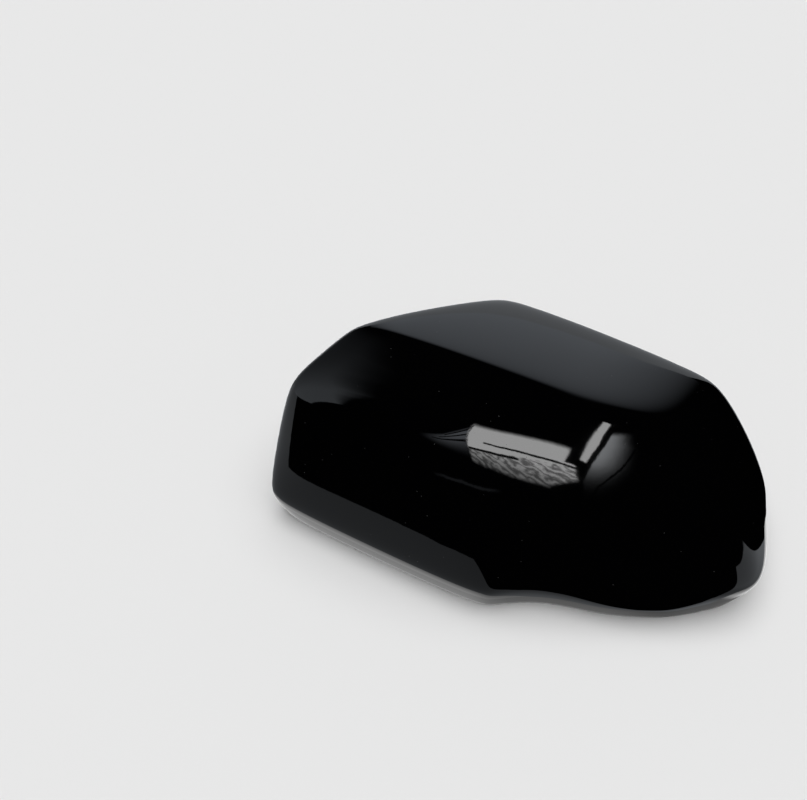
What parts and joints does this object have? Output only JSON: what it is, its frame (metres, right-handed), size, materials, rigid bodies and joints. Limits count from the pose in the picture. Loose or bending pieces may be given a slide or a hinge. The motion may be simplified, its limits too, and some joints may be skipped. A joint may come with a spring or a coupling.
{
  "type": "wing mirror cover",
  "caption": "One-piece gloss black cover for a car's wing mirror, with snap clips, ribs and locating pegs moulded inside.",
  "frame": {"origin": "middle of the cover's box at the height of its rim, on which it lies open side down", "axes": "+X from the inboard end to the outboard tip, +Y from the lower edge to the upper edge as mounted, +Z out through the painted face"},
  "size_m": [0.2362, 0.1629, 0.1017],
  "materials": {
    "gloss_black": "high gloss"
  },
  "bodies": {
    "root": {"cover": "gloss_black"}
  },
  "joints": []
}
